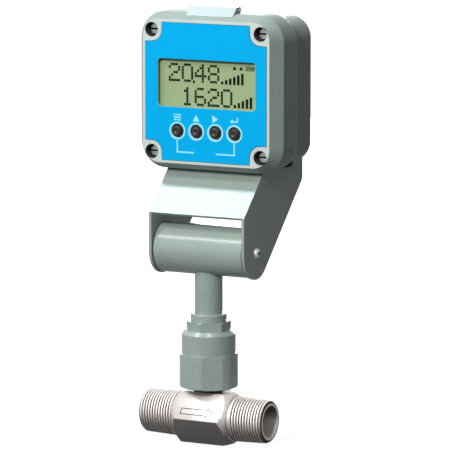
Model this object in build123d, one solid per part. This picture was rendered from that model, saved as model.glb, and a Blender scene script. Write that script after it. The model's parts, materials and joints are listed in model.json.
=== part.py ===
from build123d import *
import math
import os

# Flow monitor: an inline turbine meter in a hexagonal pipe body, with a riser on top of it.
# The riser carries a swivelling stem, a horizontal drum, a tilting sheet-metal bracket and
# the display box. Millimetres. The pipe axis is X (flow runs towards +X), the display faces
# -Y, up is +Z, and the origin is where the stem's axis crosses the pipe's axis.

# Meter body: hexagonal bar with a male taper thread at each end
body_length = 101.6
body_across_flats = 38.1
hex_edge_half_length = 17.4
thread_large_d = 33.4
thread_length = 26.8
thread_taper = 1 / 16
thread_end_chamfer = 1.5
thread_pitch = 25.4 / 11.5
thread_depth = 1.55
thread_crest = 0.3
thread_root = 0.4
thread_relief_d = 30.2
thread_relief_length = 1.5
flow_bore_d = 24.0
rotor_bore_d = 23.2
rotor_seat_half_length = 7.0
ring_groove_d = 25.6
ring_groove_width = 1.2

# Turbine inside the bore
rotor_length = 11.0
rotor_hub_d = 9.0
rotor_tip_gap = 0.5
blade_count = 8
blade_thickness = 0.9
blade_twist = 38.0
blade_root_depth = 0.6
hub_bore_gap = 0.3
bush_d = 5.0
bush_length = 2.6
shaft_d = 2.4
shaft_run_gap = 0.05
shaft_seat_depth = 7.0
vane_count = 4
vane_thickness = 1.1
vane_length = 12.6
vane_nose_length = 4.5
rotor_end_gap = 0.4
ring_radial_width = 1.7
ring_mouth_angle = 40.0

# Pickup port and riser coupling
port_d = 19.0
port_floor_wall = 1.6
port_seal_d = 21.6
port_seal_height = 1.5
hex_bottom_z = 22.1
coupling_across_flats = 39.9
coupling_corner_d = 42.7
coupling_hex_height = 24.9
coupling_hex_turn = 5.1
coupling_round_d = 39.6
coupling_round_height = 17.6
coupling_chamfer_width = 3.0
coupling_chamfer_height = 2.8
coupling_edge_chamfer = 0.9
pickup_d = 12.0
pickup_flange_d = 17.0
pickup_flange_height = 3.0
pickup_top_height = 13.0
pickup_seat_height = 3.0
pickup_nut_height = 4.0
pickup_nut_gap = 0.5
riser_cavity_d = 20.0
stem_chamber_d = 24.0
stem_chamber_depth = 14.6

# Swivelling stem
stem_d = 20.4
stem_wall = 3.2
stem_stand_in = 0.6
stem_foot_d = 23.4
stem_foot_height = 4.0
packing_height = 2.0
swivel_nut_across_flats = 28.6
swivel_nut_height = 6.6
swivel_nut_turn = 3.0
swivel_nut_skirt = 7.0
swivel_nut_corner_trim = 0.3
swivel_nut_chamfer = 0.6
collar_d = 26.4
collar_height = 5.8
collar_chamfer = 1.0

# Clearances: turning parts, seated parts, plain screw holes, and how far a cut runs on
run_gap = 0.05
fit_gap = 0.02
hole_gap = 0.2
overrun = 1.0

# Pivot drum and its end parts
pivot_z = 123.8
drum_d = 37.0
drum_wall = 3.5
drum_plug_length = 7.0
washer_thickness = 1.0
washer_d = 34.0
screw_d = 4.0
pivot_head_d = 7.6
pivot_head_height = 2.3
pivot_head_top_d = 2.3
pivot_socket_d = 2.9
pivot_socket_depth = 1.3
screw_tip_gap = 0.5
outlet_angle = 60.0
grommet_hole_d = 13.0
grommet_wall = 1.6
grommet_lip = 1.5

# Tilting bracket in folded sheet
bracket_width = 78.8
sheet = 2.2
plate_end_radius = 19.4
web_foot_z = 151.5
web_angle = 45.0
bend_radius = 2.0
shelf_gap = 0.3
flange_depth = 14.1
flange_corner_radius = 5.5
back_plate_rise = 22.8
flange_top_drop = 22.0
shelf_hole_d = 25.0
bracket_screw_pitch_x = 50.0
bracket_screw_pitch_z = 46.0
bracket_screw_drop = 13.2
bracket_screw_head_d = 8.0
bracket_screw_head_height = 2.6
bracket_screw_length = 12.0
screw_edge_chamfer = 0.6
screw_slot_depth = 1.1
screw_slot_width = 1.3
boss_cap = 1.0

# Display box: lid in front, base behind, parted on a flat seam
box_width = 117.5
box_height = 115.4
box_centre_z = 239.2
box_corner_radius = 20.0
face_y = -4.9
face_inset_x = 6.65
face_inset_z = 4.95
face_corner_radius = 13.5
bevel_depth = 10.2
lid_side_depth = 9.4
rim_depth = 6.6
shoulder_depth = 9.6
shoulder_inset = 3.8
shoulder_steps = 4
box_back_y = 57.5
back_edge_chamfer = 1.6
lid_wall = 3.0
lid_rim_wall = 5.8
base_wall = 3.0
gasket_inset = 1.9
gasket_width = 2.0
gasket_depth = 1.6
lid_screw_inset_x = 14.0
lid_screw_inset_z = 12.85
counterbore_d = 10.7
counterbore_depth = 8.5
lid_boss_d = 14.6
base_boss_d = 12.0
lid_screw_head_d = 8.6
lid_screw_head_height = 3.0
lid_screw_length = 19.0
insert_d = 6.0
insert_length = 7.5
insert_recess = 0.1

# Window, display and keys
window_width = 80.7
window_height = 35.4
window_radius = 3.0
window_offset_x = 0.8
window_offset_z = 6.5
lens_recess = 2.0
lens_thickness = 2.0
lens_ledge = 2.0
label_margin = 2.35
label_thickness = 0.3
label_notch_radius = 8.8
display_width = 91.0
display_height = 45.0
display_depth = 6.1
display_corner_chamfer = 1.0
board_width = 92.0
board_height = 84.0
board_thickness = 1.6
board_boss_gap = 0.5
board_post_d = 6.5
board_post_pitch_x = 62.0
board_post_pitch_z = 75.0
board_screw_d = 2.5
board_screw_head_d = 5.0
board_screw_head_height = 1.8
board_screw_length = 6.0
key_row_x = 0.3
key_row_z = -28.5
key_pitch = 15.67
key_names = ["menu_button", "up_button", "right_button", "enter_button"]
key_hole_d = 10.6
key_throat_d = 10.0
key_cone_depth = 0.3
key_gap = 0.3
key_recess = 0.2
key_edge = 0.3
key_cap_d = 6.4
key_cap_height = 1.9
key_cap_chamfer = 0.5
key_cap_draft = 0.2
key_dish_d = 4.0
key_dish_depth = 0.5
key_flange_d = 12.2
key_flange_height = 0.9
key_tail = 0.5
key_travel = 1.0
key_spare = 0.25
switch_width = 6.0
switch_height = 3.2
switch_tip_d = 3.4

# On the back of the board
battery_d = 14.5
battery_length = 50.0
battery_cap_d = 5.8
battery_cap_length = 1.5
battery_offset_z = 18.0
cradle_wall = 1.5
cradle_floor = 2.0
terminal_width = 30.0
terminal_height = 9.0
terminal_depth = 11.0
terminal_offset_z = -22.0
terminal_ways = 5
terminal_pitch = 5.5
terminal_hole_d = 3.0
terminal_hole_depth = 4.0
terminal_screw_rise = 1.0

# Cable gland under the box
gland_y = 44.0
gland_thread_d = 16.0
gland_flange_d = 20.0
gland_flange_height = 5.0
gland_dome_d = 19.0
gland_dome_height = 11.0
gland_dome_chamfer = 3.2
gland_neck_spare = 1.0
gland_cable_d = 6.0
gland_bore_gap = 0.8
gland_seal_recess = 3.0
gland_seal_d = 10.5
gland_nut_d = 22.0
gland_nut_thickness = 4.5

# Lid hinge on top
hinge_width = 38.3
hinge_front_y = 0.7
hinge_nose_length = 6.93
hinge_pin_y = 11.9
hinge_barrel_d = 4.7
hinge_pin_d = 2.6
hinge_pin_stand_out = 0.8
hinge_slot_width = 15.0
hinge_lug_gap = 0.3
hinge_lug_length = 6.0

# Places worked out from the sizes above
body_half = body_length / 2
body_flat_z = body_across_flats / 2
body_corner_r = body_flat_z / math.cos(math.radians(30))
thread_start = body_half - thread_length
flow_bore_r = flow_bore_d / 2
rotor_bore_r = rotor_bore_d / 2
hub_r = rotor_hub_d / 2
vane_end = rotor_seat_half_length + run_gap + vane_length
port_floor_z = rotor_bore_r + port_floor_wall
hex_top_z = hex_bottom_z + coupling_hex_height
coupling_top_z = hex_top_z + coupling_round_height
pickup_bottom_z = port_floor_z + fit_gap
pickup_seat_z = hex_bottom_z + pickup_seat_height
chamber_floor_z = coupling_top_z - stem_chamber_depth
stem_bottom_z = chamber_floor_z + run_gap
stem_r = stem_d / 2
stem_foot_top_z = stem_bottom_z + stem_foot_height
swivel_nut_top_z = coupling_top_z + swivel_nut_height
collar_bottom_z = swivel_nut_top_z + run_gap
drum_r = drum_d / 2
drum_inner_r = drum_r - drum_wall
plate_inner_x = bracket_width / 2 - sheet
plate_outer_x = bracket_width / 2
washer_outer_x = plate_inner_x - run_gap
drum_end_x = washer_outer_x - washer_thickness
lid_edge_y = face_y + bevel_depth
seam_y = lid_edge_y + lid_side_depth
rim_back_y = seam_y + rim_depth
shoulder_back_y = rim_back_y + shoulder_depth
lid_inner_y = face_y + lid_wall
base_inner_back_y = box_back_y - base_wall
face_width = box_width - 2 * face_inset_x
face_height = box_height - 2 * face_inset_z
label_width = face_width - 2 * label_margin
label_height = face_height - 2 * label_margin
lid_screw_pitch_x = box_width - 2 * lid_screw_inset_x
lid_screw_pitch_z = box_height - 2 * lid_screw_inset_z
box_bottom_z = box_centre_z - box_height / 2
box_top_z = box_centre_z + box_height / 2
back_plate_top_z = box_centre_z + back_plate_rise
bracket_screw_centre_z = box_centre_z - bracket_screw_drop
lens_front_y = face_y + lens_recess
lens_back_y = lens_front_y + lens_thickness
display_front_y = lens_back_y + fit_gap
board_front_y = display_front_y + display_depth
board_back_y = board_front_y + board_thickness
screw_floor_y = face_y + counterbore_depth
shelf_top_z = box_bottom_z - shelf_gap
base_bottom_z = box_bottom_z + shoulder_inset
hinge_pin_z = box_top_z + hinge_barrel_d / 2


def rod(axis, radius, start, end, at=(0, 0)):
    """Round bar along X, Y or Z between two places; at gives its other two coordinates."""
    bar = Cylinder(radius, end - start, align=(Align.CENTER, Align.CENTER, Align.MIN))
    if axis == "x":
        return Pos(start, at[0], at[1]) * Rot(0, 90, 0) * bar
    if axis == "y":
        return Pos(at[0], start, at[1]) * Rot(-90, 0, 0) * bar
    return Pos(at[0], at[1], start) * bar


def tube(axis, outer_r, inner_r, start, end, at=(0, 0)):
    """Plain ring or tube along one axis."""
    return rod(axis, outer_r, start, end, at) - rod(axis, inner_r, start - overrun, end + overrun, at)


def hex_prism(across_flats, bottom, top, turn=0.0):
    """Upright hexagon with a corner towards -Y, turned about Z by an angle in degrees."""
    corner_r = across_flats / 2 / math.cos(math.radians(30))
    face = RegularPolygon(corner_r, 6, rotation=turn - 90)
    return extrude(Pos(0, 0, bottom) * face, amount=top - bottom)


def front_plane(y):
    """Plane seen from the front: its own x is X, its own y is Z from the box's centre."""
    return Plane(origin=(0, y, box_centre_z), x_dir=(1, 0, 0), z_dir=(0, -1, 0))


def slab(sketch, front_y, back_y):
    """Extrude a sketch drawn in the front plane, from one Y to another."""
    return extrude(front_plane(front_y) * sketch, amount=front_y - back_y)


def rounded(inset, y):
    """Outline of the box at its full size, drawn in by an inset, at one Y."""
    outline = RectangleRounded(
        box_width - 2 * inset, box_height - 2 * inset, box_corner_radius - inset)
    return front_plane(y) * outline


def corner_places(pitch_x, pitch_z):
    """The four corners of a rectangle about the box's centre, as X and Z from it."""
    return [(sx * pitch_x / 2, sz * pitch_z / 2) for sx in (-1, 1) for sz in (-1, 1)]


def lid_screw_places():
    """World X and Z of the four lid screws."""
    return [(x, box_centre_z + z) for x, z in corner_places(lid_screw_pitch_x, lid_screw_pitch_z)]


def board_post_places():
    """World X and Z of the four board posts."""
    pairs = corner_places(board_post_pitch_x, board_post_pitch_z)
    return [(x, box_centre_z + z) for x, z in pairs]


def key_places():
    """World X and Z of the four keys, left to right."""
    first = key_row_x - (len(key_names) - 1) / 2 * key_pitch
    return [(first + i * key_pitch, box_centre_z + key_row_z) for i in range(len(key_names))]


def bracket_screw_places():
    """World X and Z of the four screws that hold the box to the bracket."""
    half_x = bracket_screw_pitch_x / 2
    half_z = bracket_screw_pitch_z / 2
    return [(sx * half_x, bracket_screw_centre_z + sz * half_z)
            for sx in (-1, 1) for sz in (-1, 1)]


# Meter

def taper_radius(x):
    """Outer radius of the taper thread at a distance from the body's middle."""
    return thread_large_d / 2 - thread_taper * (x - thread_start) / 2


def thread_grooves():
    """Points of the ring grooves that stand for the thread, from its large end outwards."""
    flank = (thread_pitch - thread_crest - thread_root) / 2
    count = math.floor((thread_length - thread_end_chamfer) / thread_pitch)
    points = []
    for i in range(count):
        crest_end = thread_start + i * thread_pitch + thread_crest
        root_start = crest_end + flank
        root_end = root_start + thread_root
        points += [(crest_end, taper_radius(crest_end)),
                   (root_start, taper_radius(root_start) - thread_depth),
                   (root_end, taper_radius(root_end) - thread_depth),
                   (root_end + flank, taper_radius(root_end + flank))]
    return points


def body_end_profile():
    """Half outline of the turned body: cone, relief, taper thread and end chamfer."""
    relief_r = thread_relief_d / 2
    small_r = taper_radius(body_half)
    cone_foot = hex_edge_half_length + body_corner_r - relief_r
    relief_start = min(cone_foot, thread_start - thread_relief_length)
    cone_foot_r = body_corner_r - (relief_start - hex_edge_half_length)
    side = [
        (hex_edge_half_length, body_corner_r),
        (relief_start, cone_foot_r),
        (relief_start, relief_r),
        (thread_start, relief_r),
        (thread_start, taper_radius(thread_start)),
    ]
    side += thread_grooves()
    side += [(body_half - thread_end_chamfer, small_r), (body_half, small_r - thread_end_chamfer)]
    return [(-x, r) for x, r in reversed(side)] + side


def make_meter_body():
    """Hexagonal bar turned at both ends, bored through, with the pickup port on top."""
    points = [(-body_half, 0)] + body_end_profile() + [(body_half, 0)]
    turned = revolve(make_face(Polyline(*points, close=True)), Axis.X)
    bar = extrude(Plane.YZ.offset(-body_half) * RegularPolygon(body_corner_r, 6),
                  amount=body_length)
    outer = turned & bar
    outer = outer - rod("x", rotor_bore_r, -body_half - overrun, body_half + overrun)
    for side in (-1, 1):
        near = side * rotor_seat_half_length
        far = side * (body_half + overrun)
        outer = outer - rod("x", flow_bore_r, min(near, far), max(near, far))
        groove_near = side * vane_end
        groove_far = side * (vane_end + ring_groove_width)
        outer = outer - rod("x", ring_groove_d / 2, min(groove_near, groove_far),
                            max(groove_near, groove_far))
    return outer - rod("z", port_d / 2, port_floor_z, body_flat_z + overrun)


def make_blade():
    """One twisted rotor blade from hub to tip, centred on the hub's length."""
    tip_r = rotor_bore_r - rotor_tip_gap
    root_r = hub_r - blade_root_depth
    reach_r = tip_r + overrun
    section = Plane.YZ.offset(-rotor_length / 2) * Pos(0, (root_r + reach_r) / 2) * Rectangle(
        blade_thickness, reach_r - root_r)
    blade = Solid.extrude_linear_with_rotation(
        section.face(), (-rotor_length / 2, 0, 0), (rotor_length, 0, 0), blade_twist)
    return blade & rod("x", tip_r, -rotor_length / 2, rotor_length / 2)


def make_rotor():
    """Turbine rotor: hub with helical blades, bored for its bushes and shaft."""
    rotor = rod("x", hub_r, -rotor_length / 2, rotor_length / 2)
    blade = make_blade()
    for i in range(blade_count):
        rotor = rotor + Rot(i * 360 / blade_count, 0, 0) * blade
    rotor = rotor - rod("x", shaft_d / 2 + hub_bore_gap, -rotor_length, rotor_length)
    for side in (-1, 1):
        inner = side * (rotor_length / 2 - bush_length)
        outer = side * rotor_length
        rotor = rotor - rod("x", bush_d / 2, min(inner, outer), max(inner, outer))
    return rotor


def make_rotor_bushes():
    """Two hard bushes in the ends of the rotor's hub, running on the shaft."""
    bushes = []
    for side in (-1, 1):
        inner = side * (rotor_length / 2 - bush_length)
        outer = side * rotor_length / 2
        bushes.append(tube("x", bush_d / 2 - fit_gap, shaft_d / 2 + shaft_run_gap,
                           min(inner, outer), max(inner, outer)))
    return Compound(children=bushes)


def make_vanes(side):
    """Flow straightener: four straight vanes on a hub with a rounded nose, at one end."""
    hub_near = rotor_length / 2 + rotor_end_gap
    nose_start = vane_end
    nose_tip = nose_start + vane_nose_length
    vane_near = rotor_seat_half_length + run_gap
    hub = revolve(make_face(
        Line((hub_near, 0), (hub_near, hub_r))
        + Line((hub_near, hub_r), (nose_start, hub_r))
        + Spline((nose_start, hub_r), (nose_tip, 0), tangents=((1, 0), (0, -1)))
        + Line((nose_tip, 0), (hub_near, 0))), Axis.X)
    part = hub
    vane_r = flow_bore_r - run_gap
    root_r = hub_r / 2
    for i in range(vane_count):
        vane = Pos((vane_near + vane_end) / 2, 0, (root_r + vane_r) / 2) * Box(
            vane_end - vane_near, vane_thickness, vane_r - root_r)
        part = part + Rot((i + 0.5) * 360 / vane_count, 0, 0) * vane
    part = part & rod("x", vane_r, hub_near - overrun, nose_tip + overrun)
    part = part - rod("x", shaft_d / 2 + fit_gap, hub_near - overrun,
                      hub_near + shaft_seat_depth)
    return part if side > 0 else Rot(0, 0, 180) * part


def make_retaining_rings():
    """Two open spring rings in the grooves that keep the vanes in the bore."""
    rings = []
    groove_r = ring_groove_d / 2
    for side in (-1, 1):
        start = side * (vane_end + fit_gap)
        end = side * (vane_end + ring_groove_width - fit_gap)
        ring = tube("x", groove_r - fit_gap, groove_r - ring_radial_width,
                    min(start, end), max(start, end))
        reach = groove_r + overrun
        half = math.tan(math.radians(ring_mouth_angle / 2)) * reach
        mouth = Polyline((0, 0), (-half, -reach), (half, -reach), close=True)
        wedge = extrude(Plane.YZ.offset(-body_half) * make_face(mouth), amount=body_length)
        rings.append(ring - wedge)
    return Compound(children=rings)


def make_rotor_shaft():
    """Fixed shaft held in the hubs of both vane sets."""
    reach = rotor_length / 2 + rotor_end_gap + shaft_seat_depth - fit_gap
    return rod("x", shaft_d / 2, -reach, reach)


# Riser

def make_port_seal():
    """Flat seal round the coupling's threaded foot, on the body's top flat."""
    return tube("z", port_seal_d / 2, port_d / 2 + fit_gap, body_flat_z,
                body_flat_z + port_seal_height)


def make_coupling():
    """Riser coupling: threaded foot, six flats on a round body, turned barrel, stepped bore."""
    hexagon = hex_prism(coupling_across_flats, hex_bottom_z, hex_top_z, coupling_hex_turn)
    envelope = rod("z", coupling_corner_d / 2, hex_bottom_z, hex_top_z)
    envelope = chamfer(envelope.edges().group_by(Axis.Z)[0], coupling_edge_chamfer)
    barrel_r = coupling_round_d / 2
    barrel_side_top = coupling_top_z - coupling_chamfer_height
    barrel_top_r = barrel_r - coupling_chamfer_width
    barrel_foot_z = hex_top_z - overrun
    outline = Polyline((0, barrel_foot_z), (barrel_r, barrel_foot_z),
                       (barrel_r, barrel_side_top), (barrel_top_r, coupling_top_z),
                       (0, coupling_top_z), close=True)
    barrel = revolve(Plane.XZ * make_face(outline), Axis.Z)
    part = (hexagon & envelope) + barrel
    part = part + rod("z", port_d / 2 - fit_gap, port_floor_z, hex_bottom_z + overrun)
    part = part - rod("z", pickup_d / 2 + hole_gap, port_floor_z - overrun, pickup_seat_z)
    part = part - rod("z", riser_cavity_d / 2, pickup_seat_z, coupling_top_z)
    return part - rod("z", stem_chamber_d / 2, chamber_floor_z, coupling_top_z + overrun)


def make_magnetic_pickup():
    """Coil pickup: nose down in the port, flange on the coupling's inner step."""
    pickup = rod("z", pickup_d / 2, pickup_bottom_z, pickup_seat_z + pickup_top_height)
    flange = rod("z", pickup_flange_d / 2, pickup_seat_z, pickup_seat_z + pickup_flange_height)
    return pickup + flange


def make_pickup_nut():
    """Ring nut screwed into the coupling's cavity above the pickup's flange."""
    bottom = pickup_seat_z + pickup_flange_height
    return tube("z", riser_cavity_d / 2 - fit_gap, pickup_d / 2 + pickup_nut_gap, bottom,
                bottom + pickup_nut_height)


def make_swivel_nut():
    """Thin hexagon nut with a skirt that keeps the stem's foot in the coupling."""
    nut = hex_prism(swivel_nut_across_flats, coupling_top_z, swivel_nut_top_z, swivel_nut_turn)
    corner_r = swivel_nut_across_flats / 2 / math.cos(math.radians(30))
    envelope = rod("z", corner_r - swivel_nut_corner_trim, coupling_top_z, swivel_nut_top_z)
    envelope = chamfer(envelope.edges().group_by(Axis.Z)[-1], swivel_nut_chamfer)
    skirt_bottom = coupling_top_z - swivel_nut_skirt
    nut = (nut & envelope) + rod("z", stem_chamber_d / 2 - fit_gap, skirt_bottom,
                                 coupling_top_z + overrun)
    return nut - rod("z", stem_r + run_gap, skirt_bottom - overrun, swivel_nut_top_z + overrun)


def make_stem():
    """Hollow stem: foot trapped in the coupling, top let into the drum's wall."""
    top = pivot_z - math.sqrt(drum_inner_r ** 2 - stem_r ** 2) + stem_stand_in
    stem = rod("z", stem_r, stem_bottom_z, top)
    stem = stem + rod("z", stem_foot_d / 2, stem_bottom_z, stem_foot_top_z)
    return stem - rod("z", stem_r - stem_wall, stem_bottom_z - overrun, top + overrun)


def make_stem_packing():
    """Rubber packing ring on the stem's foot, under the swivel nut."""
    return tube("z", stem_foot_d / 2, stem_r + fit_gap, stem_foot_top_z,
                stem_foot_top_z + packing_height)


def make_stem_collar():
    """Round collar pressed on the stem, resting over the swivel nut."""
    collar = rod("z", collar_d / 2, collar_bottom_z, collar_bottom_z + collar_height)
    collar = chamfer(collar.edges().group_by(Axis.Z)[-1], collar_chamfer)
    return collar - rod("z", stem_r + fit_gap, collar_bottom_z - overrun,
                        collar_bottom_z + collar_height + overrun)


# Drum

def at_outlet(shape):
    """Turn a shape made straight above the drum's axis back to the cable outlet's angle."""
    return Pos(0, 0, pivot_z) * Rot(-outlet_angle, 0, 0) * Pos(0, 0, -pivot_z) * shape


def make_pivot_drum():
    """Horizontal tube on the stem, with a cable outlet in its upper back."""
    at_pivot = (0, pivot_z)
    drum = tube("x", drum_r, drum_inner_r, -drum_end_x, drum_end_x, at_pivot)
    drum = drum - rod("z", stem_r + fit_gap, pivot_z - drum_r - overrun, pivot_z)
    return drum - at_outlet(rod("z", grommet_hole_d / 2, pivot_z, pivot_z + drum_r + overrun))


def make_drum_plugs():
    """Two end plugs in the drum, drilled for the pivot screws."""
    plugs = []
    for side in (-1, 1):
        inner = side * (drum_end_x - drum_plug_length)
        outer = side * drum_end_x
        plugs.append(tube("x", drum_inner_r - fit_gap, screw_d / 2 + fit_gap,
                          min(inner, outer), max(inner, outer), (0, pivot_z)))
    return Compound(children=plugs)


def make_friction_washers():
    """Two flat friction washers between the drum's ends and the bracket's plates."""
    washers = []
    for side in (-1, 1):
        inner = side * drum_end_x
        outer = side * washer_outer_x
        washers.append(tube("x", washer_d / 2, screw_d / 2 + hole_gap,
                            min(inner, outer), max(inner, outer), (0, pivot_z)))
    return Compound(children=washers)


def make_pivot_screws():
    """Two domed socket screws: each clamps through its plate into the drum's plug."""
    screws = []
    head_x = plate_outer_x + run_gap
    top_x = head_x + pivot_head_height
    tip_x = drum_end_x - drum_plug_length + screw_tip_gap
    shank_r = screw_d / 2
    head_r = pivot_head_d / 2
    top_r = pivot_head_top_d / 2
    turn = math.radians(45)
    crown = (head_x + pivot_head_height * math.sin(turn), top_r + (head_r - top_r) * math.cos(turn))
    outline = (Polyline((top_x, top_r), (top_x, 0), (tip_x, 0), (tip_x, shank_r),
                        (head_x, shank_r), (head_x, head_r))
               + ThreePointArc((head_x, head_r), crown, (top_x, top_r)))
    screw = revolve(make_face(outline), Axis.X)
    socket = extrude(Plane.YZ.offset(top_x - pivot_socket_depth)
                     * RegularPolygon(pivot_socket_d / 2, 6), amount=pivot_socket_depth + overrun)
    screw = screw - socket
    for side in (-1, 1):
        turned = screw if side > 0 else Rot(0, 0, 180) * screw
        screws.append(Pos(0, 0, pivot_z) * turned)
    return Compound(children=screws)


def make_drum_grommet():
    """Rubber grommet in the drum's cable outlet, with a lip outside."""
    hole_r = grommet_hole_d / 2
    seat_z = pivot_z + math.sqrt(drum_r ** 2 - hole_r ** 2)
    top_z = pivot_z + drum_r + grommet_lip
    sleeve = tube("z", hole_r - fit_gap, hole_r - grommet_wall,
                  pivot_z + drum_inner_r - grommet_lip, top_z)
    lip = tube("z", hole_r + grommet_lip, hole_r - grommet_wall, seat_z, top_z)
    lip = lip - rod("x", drum_r + fit_gap, -drum_end_x, drum_end_x, (0, pivot_z))
    return at_outlet(sleeve + lip)


# Bracket

def web_outline():
    """Side view of the folded middle sheet, as Y and Z points of its two faces."""
    run = math.tan(math.radians(web_angle))
    knee_y = (shelf_top_z - web_foot_z) / run - plate_end_radius
    half_turn = math.tan(math.radians(web_angle / 2))
    foot_y = -plate_end_radius
    slope_y = sheet * math.sin(math.radians(web_angle))
    slope_z = sheet * math.cos(math.radians(web_angle))
    outer = [(foot_y, web_foot_z), (knee_y, shelf_top_z), (box_back_y, shelf_top_z),
             (box_back_y, back_plate_top_z)]
    inner = [(foot_y + slope_y, web_foot_z - slope_z),
             (knee_y + sheet * half_turn, shelf_top_z - sheet),
             (box_back_y + sheet, shelf_top_z - sheet), (box_back_y + sheet, back_plate_top_z)]
    return outer, inner


def make_bracket_web():
    """Folded middle sheet: sloping front web, shelf under the box and back plate."""
    outer, inner = web_outline()
    tight = bend_radius
    wide = bend_radius + sheet
    face = make_face(FilletPolyline(*outer, radius=[wide, tight])
                     + Line(outer[-1], inner[-1])
                     + FilletPolyline(*inner, radius=[tight, wide])
                     + Line(inner[0], outer[0]))
    web = extrude(Plane.YZ.offset(-plate_inner_x) * face, amount=2 * plate_inner_x)
    web = web - rod("z", shelf_hole_d / 2, shelf_top_z - sheet - overrun,
                    shelf_top_z + overrun, (0, gland_y))
    for place in bracket_screw_places():
        web = web - rod("y", screw_d / 2 + hole_gap, box_back_y - overrun,
                        box_back_y + sheet + overrun, place)
    return web


def make_bracket_plate(side):
    """Side plate: rounded lower end at the pivot, sloping rear edge, flange up the back."""
    outer = web_outline()[0]
    rear_y = box_back_y + sheet + flange_depth
    tangent = plate_end_radius * math.sin(math.radians(45))
    rear_z = pivot_z - tangent + rear_y - tangent
    knee_y = outer[1][0]
    rise = [(rear_y - flange_depth, back_plate_top_z),
            (rear_y, back_plate_top_z - flange_top_drop)]
    front = FilletPolyline((-plate_end_radius, pivot_z), outer[0], (knee_y, shelf_top_z),
                           (box_back_y, shelf_top_z), (box_back_y, back_plate_top_z), rise[0],
                           rise[1], (rear_y, rear_z), (tangent, pivot_z - tangent),
                           radius=[0, bend_radius + sheet, bend_radius, 0, 0,
                                   flange_corner_radius, flange_corner_radius])
    foot = ThreePointArc((tangent, pivot_z - tangent), (-tangent, pivot_z - tangent),
                         (-plate_end_radius, pivot_z))
    face = make_face(front + foot)
    near = plate_inner_x if side > 0 else -plate_outer_x
    plate = extrude(Plane.YZ.offset(near) * face, amount=sheet)
    return plate - rod("x", screw_d / 2 + run_gap, near - overrun, near + sheet + overrun,
                       (0, pivot_z))


def make_bracket_screws():
    """Four pan-head screws from behind the back plate into the box's base."""
    screws = []
    seat_y = box_back_y + sheet
    for place in bracket_screw_places():
        head = rod("y", bracket_screw_head_d / 2, seat_y, seat_y + bracket_screw_head_height, place)
        head = chamfer(head.edges().group_by(Axis.Y)[-1], screw_edge_chamfer)
        shank = rod("y", screw_d / 2, seat_y - bracket_screw_length, seat_y + overrun, place)
        slot = Pos(place[0], seat_y + bracket_screw_head_height, place[1]) * Box(
            bracket_screw_head_d + overrun, 2 * screw_slot_depth, screw_slot_width)
        screws.append(head + shank - slot)
    return Compound(children=screws)


# Display box

def make_enclosure_base():
    """Rear shell: full-size rim, rounded shoulder, smaller tail, bosses and gasket groove."""
    sections = [rounded(0, rim_back_y)]
    for step in range(1, shoulder_steps + 1):
        angle = math.pi / 2 * step / shoulder_steps
        inset = shoulder_inset * (1 - math.cos(angle))
        sections.append(rounded(inset, rim_back_y + shoulder_depth * math.sin(angle)))
    base = extrude(rounded(0, seam_y), amount=-rim_depth)
    base = base + loft(sections, ruled=True)
    tail = extrude(rounded(shoulder_inset, shoulder_back_y), amount=-(box_back_y - shoulder_back_y))
    tail = chamfer(tail.faces().sort_by(Axis.Y)[-1].edges(), back_edge_chamfer)
    base = base + tail
    hollow_inset = shoulder_inset + base_wall
    base = base - extrude(rounded(hollow_inset, seam_y), amount=-(base_inner_back_y - seam_y))
    for place in lid_screw_places():
        base = base + rod("y", base_boss_d / 2, seam_y, base_inner_back_y + overrun, place)
    for place in bracket_screw_places():
        base = base + rod("y", base_boss_d / 2, box_back_y - bracket_screw_length - boss_cap,
                          base_inner_back_y + overrun, place)
    for place in lid_screw_places():
        base = base - rod("y", insert_d / 2, seam_y - overrun, seam_y + insert_length, place)
        base = base - rod("y", screw_d / 2 + hole_gap, seam_y,
                          screw_floor_y + lid_screw_length + screw_tip_gap, place)
    for place in bracket_screw_places():
        base = base - rod("y", screw_d / 2 + fit_gap, box_back_y - bracket_screw_length,
                          box_back_y + overrun, place)
    groove = extrude(rounded(gasket_inset, seam_y), amount=-gasket_depth)
    groove = groove - extrude(rounded(gasket_inset + gasket_width, seam_y), amount=-gasket_depth)
    base = base - groove
    return base - rod("z", gland_thread_d / 2 + fit_gap, base_bottom_z - overrun,
                      base_bottom_z + base_wall + overrun, (0, gland_y))


def make_lid_gasket():
    """Rubber gasket in the groove of the base's rim."""
    outer = rounded(gasket_inset + fit_gap, seam_y)
    inner = rounded(gasket_inset + gasket_width - fit_gap, seam_y)
    return extrude(outer, amount=-gasket_depth) - extrude(inner, amount=-gasket_depth)


def make_lid_inserts():
    """Four threaded brass inserts in the base's corner bosses."""
    return Compound(children=[
        tube("y", insert_d / 2 - fit_gap, screw_d / 2 + fit_gap, seam_y + insert_recess,
             seam_y + insert_length, place) for place in lid_screw_places()])


def window_sketch(spread=0.0):
    """Window opening in the front plane, grown by a spread on every side."""
    return Pos(window_offset_x, window_offset_z) * RectangleRounded(
        window_width + 2 * spread, window_height + 2 * spread, window_radius + spread)


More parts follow.
